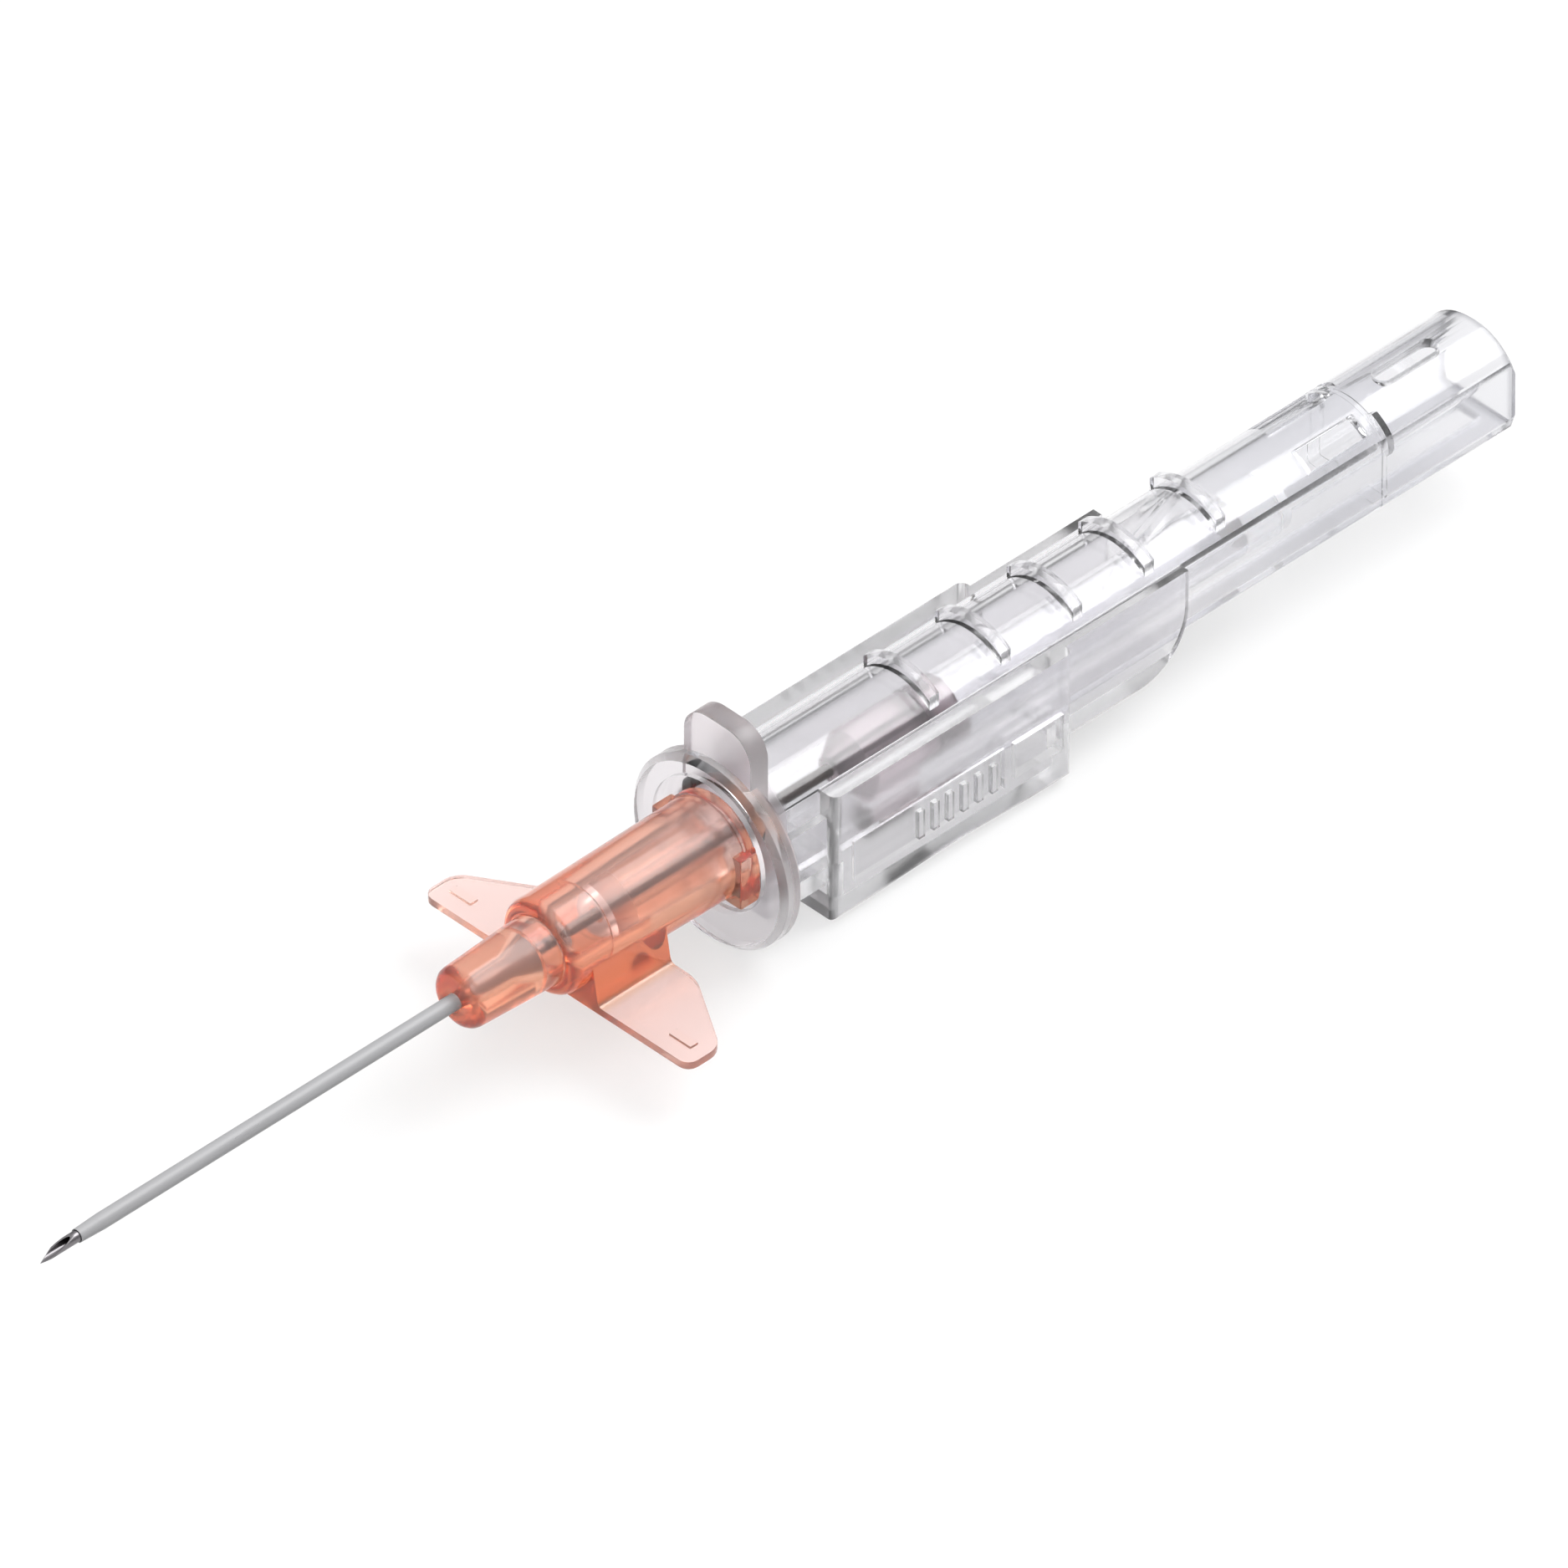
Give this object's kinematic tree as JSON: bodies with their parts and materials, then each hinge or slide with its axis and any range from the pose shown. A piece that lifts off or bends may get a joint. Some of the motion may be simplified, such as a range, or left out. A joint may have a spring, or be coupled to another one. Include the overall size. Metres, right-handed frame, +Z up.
{
  "type": "iv cannula",
  "caption": "Winged intravenous cannula on its introducer needle, with a push-off flange and a clear guard that slides forward out of a channel handle to cover the needle.",
  "frame": {"origin": "under the middle of the whole object's length and width, at the height of its lowest point, the flange's rim", "axes": "+X along the needle from its point towards the rear, +Z up from the handle's underside, through the push-off tab, +Y across"},
  "size_m": [0.1226, 0.0232, 0.0166],
  "materials": {
    "needle_steel": "polished bevel, drawn tube",
    "catheter_polymer": "milky, satin, slightly see-through",
    "eyelet_steel": "bright pressed steel",
    "hub_salmon": "see-through salmon pink, moulded gloss",
    "carrier_clear": "clear, moulded gloss",
    "chamber_clear": "clear, moulded gloss",
    "vent_white": "porous, sintered",
    "guard_clear": "clear, moulded gloss",
    "handle_clear": "clear with a faint grey cast, moulded gloss"
  },
  "bodies": {
    "handle": {"handle": "handle_clear", "needle_carrier": "carrier_clear", "needle": "needle_steel", "flash_chamber": "chamber_clear", "vent_plug": "vent_white"},
    "guard": {"needle_guard": "guard_clear"},
    "catheter": {"catheter_hub": "hub_salmon", "catheter_tube": "catheter_polymer", "catheter_eyelet": "eyelet_steel"}
  },
  "joints": [
    {"name": "guard_slide", "type": "slide", "parent": "handle", "child": "guard", "axis": [-1, 0, 0], "range_m": [0, 0.0485]},
    {"name": "catheter_push_off", "type": "slide", "parent": "guard", "child": "catheter", "axis": [-1, 0, 0], "range_m": [0, 0.06]}
  ]
}
